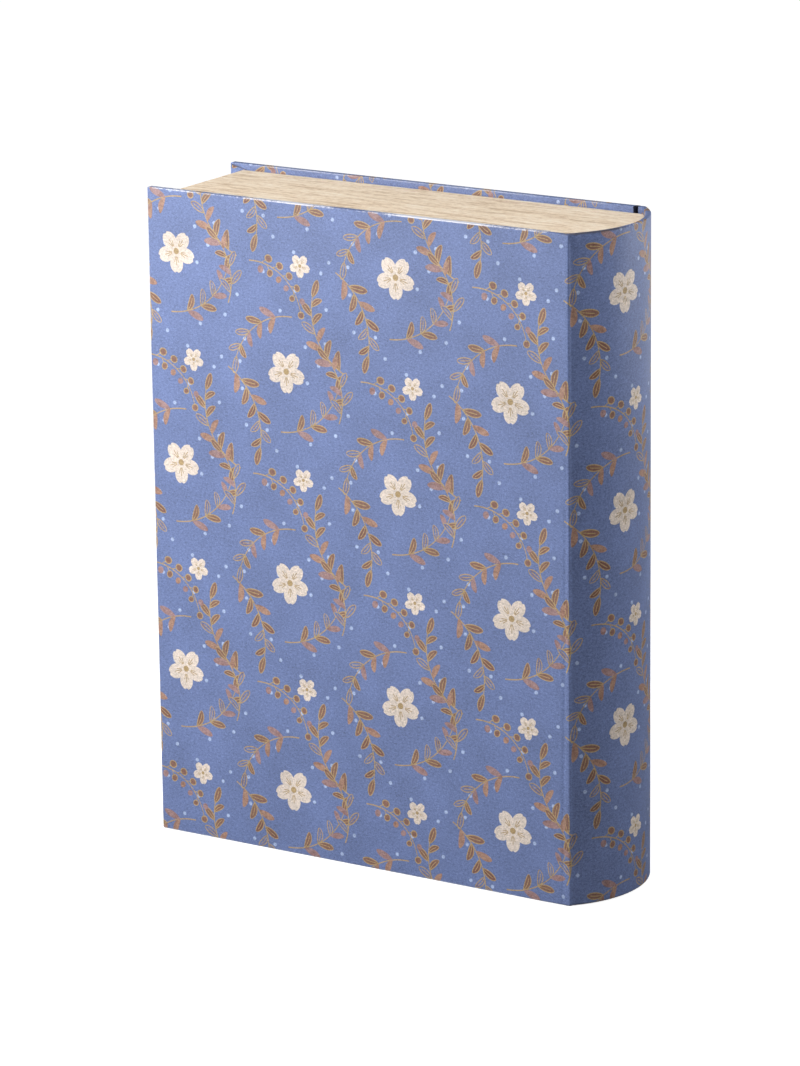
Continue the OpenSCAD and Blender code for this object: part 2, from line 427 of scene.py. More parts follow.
def board_flaps(prefix, y_top, inward, x_end, sheet_x):
    """The three turned-in flaps inside a board, the fore-edge one over slanting ends of the others.

    The fore-edge flap lies 0.12 mm above the other two, and up to 0.35 mm more along its slanting ends.
    This leaves a slit there, which closes 11 mm in from the fore-edge. Painted shade darkens the
    head and tail flaps along it.
    """
    x0, z0, z1 = FORE_X + EDGE_R, TAIL_Z + EDGE_R, HEAD_Z - EDGE_R
    x1 = FORE_X + TURN_IN
    slope = math.tan(math.radians(13))
    slant = (x1 - x0) * slope
    slit = 0.32 * MM
    slit_length = 11 * MM
    start = x0 + 0.4 * slit
    round_edge = lengths(edge_profile(BOARD_T))[-1]

    def from_slant(x, z):
        near_rim = np.minimum(z1 - z, z - z0)
        return (x - x0) * slope + slit - near_rim

    def open_at(x):
        return np.clip(1 - (x - x0) / slit_length, 0, 1)

    def lifted(x, z):
        near_slant = np.exp(-np.abs(from_slant(x, z)) / (1.2 * MM))
        return y_top + inward * (0.12 * MM + 0.35 * MM * open_at(x) * near_slant)

    # Painted shade on the head and tail flaps along the slit under the lifted fore-edge flap
    def slit_shade(x, z):
        shaded = 0.75 * MM * open_at(x) + 0.02 * MM
        return -np.clip(1.25 - from_slant(x, z) / shaded, 0, 1) * (open_at(x) > 0)

    def flat_y(x, z):
        return np.full_like(x, y_top)

    flaps = []
    for side, z_rim, up in (("head", z1, 1), ("tail", z0, -1)):
        inner = z_rim - up * (TURN_IN - EDGE_R)

        def place(x, z, z_rim=z_rim, up=up):
            return sheet_x(x), z_rim + up * (round_edge + up * (z_rim - z))

        outline = [(start, z_rim), (x_end, z_rim), (x_end, inner), (start, inner)]
        flaps.append(flat_flap(f"{prefix}_{side}_turn_in", outline, flat_y, inward, place, slit_shade))
    outline = [(x0, z0 + slit), (x0, z1 - slit), (x1, z1 - slant - slit), (x1, z0 + slant + slit)]

    def fore_place(x, z):
        return sheet_x(x0 - round_edge - (x - x0)), z

    flaps.append(flat_flap(f"{prefix}_fore_edge_turn_in", outline, lifted, inward, fore_place))
    return flaps


def spine_tabs(name, head):
    """The ends of the spine's paper, turned in over its edge as tabs, snipped apart on the far half.

    Each tab is a strip along the section of pairs (depth, down), carried to its stretch of the
    plan. Its sides close in by the snip, a wedge that is widest from the spine's edge on. It takes
    0.42 of the tab from 29 to 37 mm past the near fold and 0.05 further off. The stretches next to
    the folds stay whole. The turned edge of the near half is darkened with painted shade.
    """
    pitch = 2.5 * MM
    widest_at = 33 * MM
    section = rounded([(0, SNIP_START), (0, 0), (SPINE_T, 0), (SPINE_T, TURN_IN)], EDGE_R, 6)
    section = spread(section, 1.5 * MM)
    depth, down = section[:, 0], section[:, 1]
    walked = lengths(section)
    z = HEAD_Z - down[None] if head else TAIL_Z + down[None]
    beyond = walked[None] - SNIP_START
    over = np.clip(1 - depth / SPINE_T, 0, 1)[None]
    far_fold = SPINE_RUN[-1] - (FOLD_X - LIP_X) - 0.5 * MM
    count = int((far_fold - FOLD_RUN) / pitch)
    first = far_fold - count * pitch
    stretches = [(0, first, False), (far_fold, SPINE_RUN[-1], False)]
    stretches += [(first + k * pitch, first + (k + 1) * pitch, True) for k in range(count)]
    # Painted shade on the turned edge, darkest right over it
    turned_edge_shade = -np.clip(1.6 - down / (0.35 * MM), 0, 1)
    grids = []
    for start, stop, snipped in stretches:
        middle = (start + stop) / 2
        off = abs(middle - FOLD_RUN - widest_at) / MM
        opening = (0.05 + 0.37 * np.clip((7 - off) / 3, 0, 1)) * snipped
        width = (stop - start) * (1 - opening * np.minimum(walked / SNIP_START, 1))[None]
        run = middle + width * np.linspace(-0.5, 0.5, 7 if snipped else 40)[:, None]
        place = stack(*on_spine(run, depth[None] + over * spine_sink(run, z)), z)
        flat = stack(SEAM_X + run, HEAD_Z + beyond if head else TAIL_Z - beyond)
        grids.append((place, flat, turned_edge_shade[None] * near_half(run), not head))
    return new_piece(name, grids, SHEET)


def end_page(name, face_z, fold_z):
    """Page-edge paper on an end of the tray, folded over the wall's rim.

    A section of pairs (y, z) with one soft fold is swept in x from the fore-edge wall to the
    spine's inside: x is start + t * (arc(y) - start), with the arc 0.1 mm inside the spine's card.
    """
    section = rounded([(TRAY_Y, face_z), (RIM_Y, face_z), (RIM_Y, fold_z)], PAGE_R, 6)
    section = spread(section, 1.0 * MM)
    start = HEAD_PAGE_LOW.x
    inside = SPINE_R - SPINE_T - 0.1 * MM
    arc = SPINE_CX + np.sqrt(inside ** 2 - section[:, 0] ** 2)
    t = np.concatenate([np.linspace(0, 0.85, 40), np.linspace(0.85, 1, 24)[1:]])[:, None]
    place = stack(start + t * (arc - start)[None], section[None, :, 0], section[None, :, 1])
    flat = stack(place[..., 0], lengths(section)[None])
    return new_piece(name, [(place, flat, 0.0, face_z < fold_z)], PAGE_T)


def fore_edge_page():
    """Page-edge paper on the fore-edge of the tray: a section (x, y) with a soft fold, swept in z.

    On the rim it ends between the head's paper and the tail's.
    """
    section = rounded([(FORE_PAGE_LOW.x, TRAY_Y), (FORE_PAGE_LOW.x, RIM_Y), (FORE_PAGE_HIGH.x, RIM_Y)],
                      PAGE_R, 6)
    section = spread(section, 1.0 * MM)
    wall_low, wall_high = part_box("fore_edge_wall")
    over_rim = np.clip((section[:, 0] - FORE_PAGE_LOW.x) / PAGE_R, 0, 1)[None]
    low = FORE_PAGE_LOW.z + over_rim * (wall_low.z + LINING - FORE_PAGE_LOW.z)
    high = FORE_PAGE_HIGH.z + over_rim * (wall_high.z - LINING - FORE_PAGE_HIGH.z)
    t = np.linspace(0, 1, 120)[:, None]
    place = swept(section, low + t * (high - low))
    flat = stack(lengths(section)[None], place[..., 2])
    return new_piece("fore_edge_page_sheet", [(place, flat, 0.0, False)], PAGE_T)


def outer_hinge():
    """Covering paper over the hinge gap, sunk between its sides by 0.12 mm * sin(pi * t) squared."""
    t = np.linspace(0, 1, 17)[:, None]
    x = LIP_X + t * (LID_X - LIP_X)
    y = FRONT_Y - 0.12 * MM * np.sin(math.pi * t) ** 2
    z = np.linspace(TAIL_Z, HEAD_Z, 120)[None]
    return new_piece("outer_hinge_sheet", [(stack(x, y, z), stack(lid_sheet_x(x), z), 0.0, False)], SHEET)


def groove_paper(name, head):
    """Printed paper turned in round the hinge groove at one end: a section (x, y) swept in z.

    It goes down the lid board's end, across the groove and up the spine's lip, and reaches 2 mm
    under the inner strip.
    """
    strip_low, strip_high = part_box("inner_hinge_strip")
    under = 2 * MM
    gap = 0.04 * MM
    lid_x, lip_x, bottom_y = LID_X + gap, LIP_X - gap, FRONT_Y - PAPER - SHEET
    corners = [(lid_x, LID_BOARD_Y - PAPER), (lid_x, bottom_y), (lip_x, bottom_y),
               (lip_x, FRONT_Y - SPINE_T)]
    section = spread(rounded(corners, 0.3 * MM, 5), 0.5 * MM)
    low, high = (strip_high.z - under, HEAD_Z) if head else (TAIL_Z, strip_low.z + under)
    z = np.linspace(low, high, 12)[:, None]
    place = swept(section, z)
    flat = stack(lid_sheet_x(section[None, :, 0]), 2 * (HEAD_Z if head else TAIL_Z) - z)
    return new_piece(name, [(place, flat, 0.0, True)], 0.5 * SHEET)


def inner_hinge():
    """Plain strip inside the joint: the lid's inside, the groove and the top of the spine wall."""
    low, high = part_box("inner_hinge_strip")
    lid_x, lip_x, bottom_y = LID_X + LINING, LIP_X - LINING, FRONT_Y - PAPER - LINING
    corners = [(low.x, LID_IN_Y), (lid_x, LID_IN_Y), (lid_x, bottom_y), (lip_x, bottom_y),
               (lip_x, RIM_Y), (SPINE_WALL_X - LINING, RIM_Y)]
    section = spread(rounded(corners, 0.25 * MM, 5), 1.5 * MM)
    z = np.linspace(low.z, high.z, 80)[:, None]
    place = swept(section, z)
    flat = stack(lengths(section)[None], z)
    return new_piece("inner_hinge_cloth", [(place, flat, 0.0, True)], 0.8 * LINING)


# Shader helpers

class Wire:
    """A number, vector or colour in a node tree. Formulas of numbers are written with + - * and /."""

    def __init__(self, tree, socket):
        self.tree = tree
        self.socket = socket

    def __add__(self, other):
        return calc("ADD", self, other)

    def __sub__(self, other):
        return calc("SUBTRACT", self, other)

    def __rsub__(self, other):
        return calc("SUBTRACT", other, self)

    def __mul__(self, other):
        return calc("MULTIPLY", self, other)

    def __truediv__(self, other):
        return calc("DIVIDE", self, other)

    def __abs__(self):
        return calc("ABSOLUTE", self)


def put(tree, socket, value):
    """Sets a socket: a wire is linked, a plain number or colour becomes its value."""
    if isinstance(value, Wire):
        tree.links.new(value.socket, socket)
    else:
        socket.default_value = value


def new_node(tree, kind, output, inputs=(), **settings):
    """A node's output as a wire, with the node's settings by name and its inputs by name or number."""
    node = tree.nodes.new("ShaderNode" + kind)
    for name, value in settings.items():
        setattr(node, name, value)
    for key, value in dict(inputs).items():
        put(tree, node.inputs[key], value)
    return Wire(tree, node.outputs[output])


def calc(operation, *values, clamp=False):
    """A Math node of the values."""
    tree = next(v.tree for v in values if isinstance(v, Wire))
    return new_node(tree, "Math", 0, enumerate(values), operation=operation, use_clamp=clamp)


def edge_of(inside, width=0.1):
    """1 where a signed distance is positive, 0 where it is negative, soft over the width."""
    return calc("MULTIPLY_ADD", inside, 1 / width, 0.5, clamp=True)


def larger(a, b):
    """The larger of two numbers, which joins two shapes."""
    return calc("MAXIMUM", a, b)


def smaller(a, b):
    """The smaller of two numbers, which keeps what two shapes share."""
    return calc("MINIMUM", a, b)


def distance(x, y):
    """How far a place is from the origin: the root of x * x + y * y."""
    return calc("SQRT", x * x + y * y)


def mix_colour(tree, factor, a, b):
    """A Mix node: colour a where the factor is 0, colour b where it is 1."""
    return new_node(tree, "Mix", 2, {0: factor, 6: a, 7: b}, data_type="RGBA", clamp_factor=True)


def new_group(name, inputs, outputs):
    """A shader node group with inputs, given as name and usual value, and outputs, as name and kind.

    An input without a usual value is a vector. Returns the tree, its inputs as wires and its output
    node.
    """
    tree = bpy.data.node_groups.new(name, "ShaderNodeTree")
    for label, usual in inputs.items():
        kind = "NodeSocketVector" if usual is None else "NodeSocketFloat"
        socket = tree.interface.new_socket(label, in_out="INPUT", socket_type=kind)
        if usual is not None:
            socket.default_value = usual
    for label, kind in outputs.items():
        tree.interface.new_socket(label, in_out="OUTPUT", socket_type="NodeSocket" + kind)
    entry = tree.nodes.new("NodeGroupInput")
    leave = tree.nodes.new("NodeGroupOutput")
    return tree, [Wire(tree, entry.outputs[label]) for label in inputs], leave


def use_group(tree, group, *values):
    """Places a group in a tree and returns its outputs as wires."""
    node = tree.nodes.new("ShaderNodeGroup")
    node.node_tree = group
    for socket, value in zip(node.inputs, values):
        put(tree, socket, value)
    outputs = [Wire(tree, socket) for socket in node.outputs]
    return outputs[0] if len(outputs) == 1 else outputs


def give(tree, leave, *values):
    """Links the values to a group's outputs and returns the finished group."""
    for socket, value in zip(leave.inputs, values):
        put(tree, socket, value)
    return tree


def vector_of(tree, x, y, z=0.0):
    """A vector from its three parts."""
    return new_node(tree, "CombineXYZ", 0, enumerate((x, y, z)))


def parts_of(tree, vector):
    """The three parts of a vector."""
    node = tree.nodes.new("ShaderNodeSeparateXYZ")
    put(tree, node.inputs[0], vector)
    return [Wire(tree, socket) for socket in node.outputs]


def white_noise(tree, x, y, z):
    """A steady random number, and a colour of three more, for each place in whole steps."""
    node = tree.nodes.new("ShaderNodeTexWhiteNoise")
    node.noise_dimensions = "3D"
    put(tree, node.inputs["Vector"], vector_of(tree, x, y, z))
    return Wire(tree, node.outputs["Value"]), Wire(tree, node.outputs["Color"])


def noise(tree, vector, scale, detail, roughness, distortion=0.0):
    """A noise texture's value over a vector, with scale waves of it per unit."""
    return new_node(tree, "TexNoise", "Fac", {"Vector": vector, "Scale": scale, "Detail": detail,
                                              "Roughness": roughness, "Distortion": distortion})


def stretched(tree, vector, scale):
    """A vector scaled by its own factor along each axis."""
    return new_node(tree, "Mapping", 0, {"Vector": vector, "Scale": scale})


def shade_at(tree, value, stops, interpolation="LINEAR"):
    """The colour at a value on a Color Ramp of stops, which are pairs (position, colour)."""
    node = tree.nodes.new("ShaderNodeValToRGB")
    node.color_ramp.interpolation = interpolation
    elements = node.color_ramp.elements
    elements.remove(elements[1])
    elements[0].position, elements[0].color = stops[0]
    for position, colour in stops[1:]:
        elements.new(position).color = colour
    put(tree, node.inputs[0], value)
    return Wire(tree, node.outputs["Color"])


# Print: a half-drop repeat of blossoms, leafy sprigs and berries, in millimetres on the flat paper

# Width and height of the repeat, and the place of one of its middles
REPEAT_X = 50.0
REPEAT_Y = 84.0
PRINT_X = 13.0
PRINT_Y = -16.0

INK_GROUND = srgb(96, 112, 156)
INK_GROUND_LIGHT = srgb(106, 122, 165)
INK_GOLD = srgb(163, 139, 98)
INK_BROWN = srgb(124, 90, 78)
INK_RUST = srgb(114, 76, 68)
INK_TAN = srgb(158, 124, 106)
INK_PINK = srgb(148, 120, 120)
INK_CREAM = srgb(206, 193, 182)
INK_DOT = srgb(156, 172, 206)

# Leaf fills, each from its share of the random tones up to the next one's
LEAF_SHADES = [(0.0, INK_BROWN), (0.30, INK_RUST), (0.42, INK_TAN), (0.62, INK_PINK), (0.80, INK_GROUND)]


def repeat_group():
    """Half-drop repeat: columns REPEAT_X apart, each half a REPEAT_Y lower than the last."""
    tree, (x, y, cx, cy), leave = new_group(
        "Half-drop repeat", {"X": 0.0, "Y": 0.0, "Centre X": 0.0, "Centre Y": 0.0},
        {"X": "Float", "Y": "Float"})
    x, y = x - cx, y - cy
    column = calc("ROUND", x / REPEAT_X)
    across = calc("MULTIPLY_ADD", column, -REPEAT_X, x)
    dropped = calc("MULTIPLY_ADD", column, -REPEAT_Y / 2, y)
    along = calc("WRAP", dropped, REPEAT_Y / 2, -REPEAT_Y / 2)
    return give(tree, leave, across, along)


def leaf_group():
    """A curved leaf, or a berry on a stalk, from the distances along and across its axis.

    With t = along / length, a leaf's half width is 2.05 * width * t^0.75 * (1 - t)^0.62, about an
    axis bent by 0.22 * length * t * (1 - t). A berry is a disc of radius 0.95 * width, 0.62 of the
    length out. Line is the outline with the leaf's vein or the berry's stalk.
    """
    tree, (along, across, length, width, berry), leave = new_group(
        "Leaf or berry", {"Along": 0.0, "Across": 0.0, "Length": 8.0, "Width": 1.8, "Berry": 0.0},
        {"Fill": "Float", "Line": "Float"})
    t = calc("DIVIDE", along, length, clamp=True)
    rest = 1.0 - t
    bent = across + t * rest * length * 0.22
    half = calc("POWER", t, 0.75) * calc("POWER", rest, 0.62) * width * 2.05
    off_axis = abs(bent)
    past_ends = abs(along - t * length)
    leaf = half - off_axis - past_ends
    middle = along - length * 0.62
    disc = width * 0.95 - distance(middle, across)
    inside = leaf + berry * (disc - leaf)
    outline = edge_of(0.20 - abs(inside - 0.06))
    vein = smaller(0.15 - off_axis, smaller(length * 0.78 - along, leaf))
    stalk = smaller(0.16 - abs(across), smaller(length * 0.45 - along, along))
    inner = vein + berry * (stalk - vein)
    return give(tree, leave, edge_of(inside), larger(outline, edge_of(inner)))


def sprig_group(repeat, leaf):
    """A sprig along an arc: in bent coordinates, a is the way along the stem and d the way off it.

    The stem is an arc of radius bend, thinner towards its tip. Leaves repeat every pitch along it,
    on both sides, at 46 degrees, smaller towards the tip, where one more leaf ends the stem. Tone
    is a steady random number for each leaf.
    """
    tree, wires, leave = new_group(
        "Sprig", {"X": 0.0, "Y": 0.0, "Centre X": 0.0, "Centre Y": 0.0, "Angle": 0.0, "Bend": 26.0,
                  "Stem": 36.0, "Side": 1.0, "Pitch": 7.0, "Leaf length": 8.4, "Leaf width": 1.8,
                  "Stagger": 0.5, "Berry": 0.0, "Seed": 0.0},
        {"Stem": "Float", "Fill": "Float", "Line": "Float", "Tone": "Float"})
    x, y, cx, cy, angle, bend, stem, side, pitch, long, wide, stagger, berry, seed = wires
    x, y = use_group(tree, repeat, x, y, cx, cy)
    cos, sin = calc("COSINE", angle), calc("SINE", angle)
    along = x * cos + y * sin
    out = (y * cos - x * sin) * side + bend
    radius = distance(along, out)
    a = calc("ARCTAN2", along, out) * bend + stem * 0.5
    d = radius - bend
    away = abs(d)
    stem_line = smaller(calc("MULTIPLY_ADD", a / stem, -0.08, 0.25) - away, smaller(a, stem - a))
    below = calc("LESS_THAN", d, 0.0)
    shift = below * pitch * stagger
    q = a + shift
    index = calc("FLOOR", q / pitch)
    start = index * pitch + pitch * 0.10
    from_start = q - start
    lean_cos, lean_sin = math.cos(0.80), math.sin(0.80)
    leaf_along = from_start * lean_cos + away * lean_sin
    leaf_across = away * lean_cos - from_start * lean_sin
    share = (start - shift) / stem
    fill, line = use_group(tree, leaf, leaf_along, leaf_across, long * (1.0 - share * 0.35),
                           wide * (1.0 - share * 0.25), berry)
    present = calc("COMPARE", share, 0.505, 0.425)
    tip_fill, tip_line = use_group(tree, leaf, a - stem, d, long * 0.85, wide * 0.9, berry)
    fill, line = fill * present, line * present
    at_tip = calc("GREATER_THAN", tip_fill + tip_line, 0.01)
    tip_index = 20.0
    leaf_index = index + at_tip * (tip_index - index)
    side_index = below * (1.0 - at_tip)
    tone, _ = white_noise(tree, leaf_index, side_index, seed)
    return give(tree, leave, edge_of(stem_line), larger(fill, tip_fill), larger(line, tip_line), tone)


def blossom_group(repeat):
    """A five-petalled blossom: the angle is folded into one petal, an ellipse with a notched tip.

    At size 1 the ellipse is centred 4.9 out and reaches 3.7 along the petal and 3.0 across it. The
    notch is a disc of 0.8 at 8.9 out. The lines are three rays on each petal and a disc of 1.25 in
    the middle.
    """
    tree, (x, y, cx, cy, size), leave = new_group(
        "Blossom", {"X": 0.0, "Y": 0.0, "Centre X": 0.0, "Centre Y": 0.0, "Size": 1.0},
        {"Petals": "Float", "Lines": "Float"})
    x, y = use_group(tree, repeat, x, y, cx, cy)
    radius = distance(x, y) / size
    angle = calc("ARCTAN2", y, x) + 0.3
    folded = calc("WRAP", angle, math.pi / 5, -math.pi / 5)
    out = radius * calc("COSINE", folded)
    off = abs(radius * calc("SINE", folded))
    ex, ey = (out - 4.9) / 3.7, off / 3.0
    ellipse = (1.0 - distance(ex, ey)) * 3.0
    notch = distance(out - 8.9, off) - 0.8
    petals = larger(smaller(ellipse, notch), 2.2 - radius)
    ray = smaller(0.16 - abs(off - (out - 1.2) * 0.30), 4.4 - out)
    middle_ray = smaller(0.16 - off, 5.6 - out)
    rays = smaller(larger(ray, middle_ray), out - 2.2)
    lines = larger(rays, 1.25 - radius)
    return give(tree, leave, edge_of(petals, 0.15), edge_of(lines, 0.12))


def dots_group(repeat):
    """Scattered dots of radius 0.74: one at a random place in each cell of the repeat, 8 % left out."""
    cells_x, cells_y = 4, 7
    scatter, kept, seed = 0.7, 0.92, 4.0
    tree, (x, y), leave = new_group("Dots", {"X": 0.0, "Y": 0.0}, {"Dots": "Float"})
    x, y = use_group(tree, repeat, x, y, 0.0, 0.0)
    wide, tall = REPEAT_X / cells_x, REPEAT_Y / cells_y
    column = calc("FLOOR", calc("MULTIPLY_ADD", x, 1 / wide, cells_x / 2))
    row = calc("FLOOR", calc("MULTIPLY_ADD", y, 1 / tall, cells_y / 2))
    _, numbers = white_noise(tree, column, row, seed)
    random_x, random_y, chance = parts_of(tree, numbers)
    from_x = x - (column + (0.5 - cells_x / 2) + (random_x - 0.5) * scatter) * wide
    from_y = y - (row + (0.5 - cells_y / 2) + (random_y - 0.5) * scatter) * tall
    present = calc("LESS_THAN", chance, kept)
    return give(tree, leave, edge_of(0.74 - distance(from_x, from_y), 0.3) * present)


# Each sprig: centre x and y, angle in degrees, bend, stem, side, pitch, leaf length and width,
# stagger, berry and seed
SPRIGS = [
    (15, 13, 118, 26, 36, 1, 7.0, 8.6, 1.9, 0.5, 0, 1),
    (-13, 17, 215, 26, 34, -1, 7.0, 8.2, 1.8, 0.0, 0, 12),
    (-15, -14, 295, 30, 36, 1, 7.0, 8.6, 1.9, 0.5, 0, 8),
    (13, -19, 35, 28, 34, -1, 7.0, 8.2, 1.8, 0.0, 0, 4),
    (-2, 38, -35, 22, 30, 1, 5.2, 6.2, 1.6, 0.5, 1, 5),
    (25, -5, 100, 24, 26, -1, 7.0, 7.8, 1.7, 0.5, 0, 2),
]

# Each blossom: centre x and y, and size
BLOSSOMS = [(0.0, 0.0, 1.0), (7.0, 42.0, 0.55)]


def print_group():
    """The printed design over the flat paper, whose place in metres comes in as a vector.

    The inks are laid over the mottled ground in this order: dots, each sprig's stem, leaf fills and
    lines, then each blossom's petals and lines. Ink is 1 where any of them but a line lies.
    """
    repeat = repeat_group()
    leaf = leaf_group()
    sprig = sprig_group(repeat, leaf)
    blossom = blossom_group(repeat)
    dots = dots_group(repeat)
    tree, (place,), leave = new_group("Printed design", {"Paper": None},
                                      {"Colour": "Color", "Ink": "Float"})
    x, y, _ = parts_of(tree, place)
    x, y = x / MM - PRINT_X, y / MM - PRINT_Y
    mottle = noise(tree, place, 900.0, 3.0, 0.6)
    wash = calc("MULTIPLY_ADD", noise(tree, place, 420.0, 2.0, 0.6), 2.2, -0.25, clamp=True)
    ground = mix_colour(tree, calc("MULTIPLY_ADD", mottle, 0.5, -0.1), INK_GROUND, INK_GROUND_LIGHT)
    ink = use_group(tree, dots, x, y)
    colour = mix_colour(tree, ink, ground, INK_DOT)
    for cx, cy, angle, *rest in SPRIGS:
        stem, fill, line, tone = use_group(tree, sprig, x, y, cx, cy, math.radians(angle), *rest)
        # Tan and pink leaves, of the tones from 0.42 to 0.80, have no drawn line
        solid = calc("COMPARE", tone, 0.61, 0.19)
        colour = mix_colour(tree, stem, colour, INK_GOLD)
        shaded = mix_colour(tree, wash, INK_RUST, shade_at(tree, tone, LEAF_SHADES, "CONSTANT"))
        colour = mix_colour(tree, fill, colour, shaded)
        colour = mix_colour(tree, line * (1.0 - solid), colour, INK_GOLD)
        ink = larger(ink, larger(stem, fill))
    for cx, cy, size in BLOSSOMS:
        petals, lines = use_group(tree, blossom, x, y, cx, cy, size)
        colour = mix_colour(tree, petals, colour, INK_CREAM)
        colour = mix_colour(tree, lines * petals, colour, INK_GOLD)
        ink = larger(ink, petals)
    return give(tree, leave, colour, ink)


def grain_group():
    """Paper grain: fine fibres and specks as a height, and slow patches as a tint about 1."""
    tree, (place, amount), leave = new_group("Paper grain", {"Place": None, "Amount": 1.0},
                                             {"Tint": "Float", "Height": "Float"})
    fibres = noise(tree, stretched(tree, place, (1.0, 1.0, 1.6)), 900.0, 3.0, 0.7, 0.6)
    specks = noise(tree, place, 2200.0, 2.0, 0.5)
    patches = noise(tree, place, 60.0, 3.0, 0.5)
    height = fibres * 0.6 + specks * 0.4
    tint = ((height - 0.5) * 0.95 + (patches - 0.5) * 0.2) * amount + 1.0
    return give(tree, leave, tint, height)


def wear_and_light_group():
    """Pale abrasion of edges, and painted light where the edge mask carries it on the near head edge: the
    mask, broken up by noise.
    """
    tree, (edge, place, amount), leave = new_group(
        "Edge wear", {"Edge": 0.0, "Place": None, "Amount": 1.0}, {"Worn": "Float"})
    rough = noise(tree, place, 700.0, 4.0, 0.7)
    slow = noise(tree, place, 45.0, 2.0, 0.5)
    worn_and_lit = edge * calc("MULTIPLY_ADD", rough + slow, 3.2, -2.75, clamp=True)
    return give(tree, leave, calc("MULTIPLY", worn_and_lit, amount, clamp=True))


def page_group():
    """Page edges: fine leaves, irregular bundles and thin dark gaps, all drawn out along the pages.

    Each layer is a noise over the way along the pages and the way across them, each with its scale.
    """
    tree, (along, across), leave = new_group("Page edges", {"Along": 0.0, "Across": 0.0},
                                             {"Shade": "Float", "Height": "Float"})

    def streaks(long, fine, detail, roughness):
        return noise(tree, vector_of(tree, along * long, across * fine), 1.0, detail, roughness, 0.2)

    leaves = streaks(45.0, 1500.0, 2.0, 0.6)
    bundles = streaks(65.0, 460.0, 3.0, 0.65)
    blocks = streaks(22.0, 170.0, 2.0, 0.5)
    gaps = calc("MULTIPLY_ADD", streaks(30.0, 800.0, 1.0, 0.5), -9.0, 3.3, clamp=True)
    fibres = streaks(380.0, 620.0, 2.0, 0.6)
    shade = fibres * 0.8 + bundles * 1.5 + blocks * 0.8 - gaps * 0.35 - 1.05
    return give(tree, leave, shade, leaves * 0.7 - gaps * 0.6)


# Materials

# Pale of abraded paper, also used for painted light on the near board's head edge
PALE_WEAR_AND_HIGHLIGHT = srgb(214, 216, 228)
# Painted shade: the dark of the spine's turned edges and of the turned-in corners' slits
PAINTED_SHADE = srgb(52, 47, 54)
# Painted shade: near-black blue of the hinge groove's deep gap
GROOVE_SHADE_BLUE = srgb(38, 40, 62)
PAGE_SHADES = [(0.0, srgb(188, 157, 124)), (0.5, srgb(236, 216, 190)), (1.0, srgb(251, 239, 221))]
BOARD_GREY, BOARD_FLECK = srgb(158, 148, 134), srgb(112, 102, 90)
IVORY_LIGHT, IVORY_DARK = srgb(240, 234, 220), srgb(228, 220, 202)
CARD_LIGHT, CARD_DARK = srgb(238, 232, 222), srgb(222, 214, 202)
NICKEL_COOL, NICKEL_WARM = srgb(186, 187, 190), srgb(206, 206, 204)


def new_material(name):
    """A material with an empty node tree, its Principled shader linked to its output."""
    material = bpy.data.materials.new(name)
    material.use_nodes = True
    tree = material.node_tree
    tree.nodes.clear()
    shader = tree.nodes.new("ShaderNodeBsdfPrincipled")
    output = tree.nodes.new("ShaderNodeOutputMaterial")
    tree.links.new(shader.outputs[0], output.inputs["Surface"])
    return material, tree, shader


def object_place(tree):
    """The place of a surface point in the frame, in metres."""
    return new_node(tree, "TexCoord", "Object")


def surface(tree, shader, colour, roughness, height, depth, strength):
    """Links a colour and a roughness, and a Bump of the height, which is depth metres per unit."""
    normal = new_node(tree, "Bump", 0, {"Strength": strength, "Distance": depth, "Height": height})
    for name, value in (("Base Color", colour), ("Roughness", roughness), ("Normal", normal)):
        put(tree, shader.inputs[name], value)


def tinted(tree, colour, tint):
    """A colour multiplied by a number."""
    return new_node(tree, "VectorMath", 0, {0: colour, "Scale": tint}, operation="SCALE")


def printed_paper(design, grain, wear_and_light):
    """Matt printed paper: abraded pale where the edge mask is above 0, which on the near head edge is
    painted light, and darkened with painted shade where it is below.
    """
    material, tree, shader = new_material("printed_paper")
    colour, ink = use_group(tree, design, new_node(tree, "UVMap", 0, uv_map="paper"))
    place = object_place(tree)
    tint, height = use_group(tree, grain, place, 2.4)
    edge = new_node(tree, "Attribute", "Fac", attribute_name="edge")
    worn_and_lit = use_group(tree, wear_and_light, edge, place, 0.35)
    # Pale abrasion at the edges, and painted light on the near board's head edge
    colour = mix_colour(tree, worn_and_lit, tinted(tree, colour, tint), PALE_WEAR_AND_HIGHLIGHT)
    # Painted shade where the edge mask is below 0
    colour = mix_colour(tree, calc("MULTIPLY", edge, -0.8, clamp=True), colour, PAINTED_SHADE)
    roughness = calc("MULTIPLY_ADD", height, 0.16, 0.44) - ink * 0.03
    surface(tree, shader, colour, roughness, height, 0.06 * MM, 0.5)
    return material


def page_paper(pages, grain, along_z):
    """Cream page-edge paper with lines along x on the ends, or along z on the fore-edge."""
    material, tree, shader = new_material("page_edge_fore" if along_z else "page_edge_end")
    place = object_place(tree)
    x, y, z = parts_of(tree, place)
    shade, lines = use_group(tree, pages, z if along_z else x, y)
    tint, height = use_group(tree, grain, place, 0.5)
    colour = tinted(tree, shade_at(tree, shade, PAGE_SHADES), tint)
    roughness = calc("MULTIPLY_ADD", height, 0.2, 0.68)
    surface(tree, shader, colour, roughness, lines + height * 0.3, 0.12 * MM, 0.6)
    return material


def board_material(grain):
    """Raw greyboard: flecked grey-brown, fibrous."""
    material, tree, shader = new_material("raw_greyboard")
    place = object_place(tree)
    tint, height = use_group(tree, grain, place, 1.4)
    flecks = calc("MULTIPLY_ADD", noise(tree, place, 1200.0, 2.0, 0.5), 9.0, -5.8, clamp=True)
    colour = tinted(tree, mix_colour(tree, flecks * 0.6, BOARD_GREY, BOARD_FLECK), tint)
    roughness = calc("MULTIPLY_ADD", height, 0.1, 0.85)
    surface(tree, shader, colour, roughness, height, 0.15 * MM, 0.7)
    return material


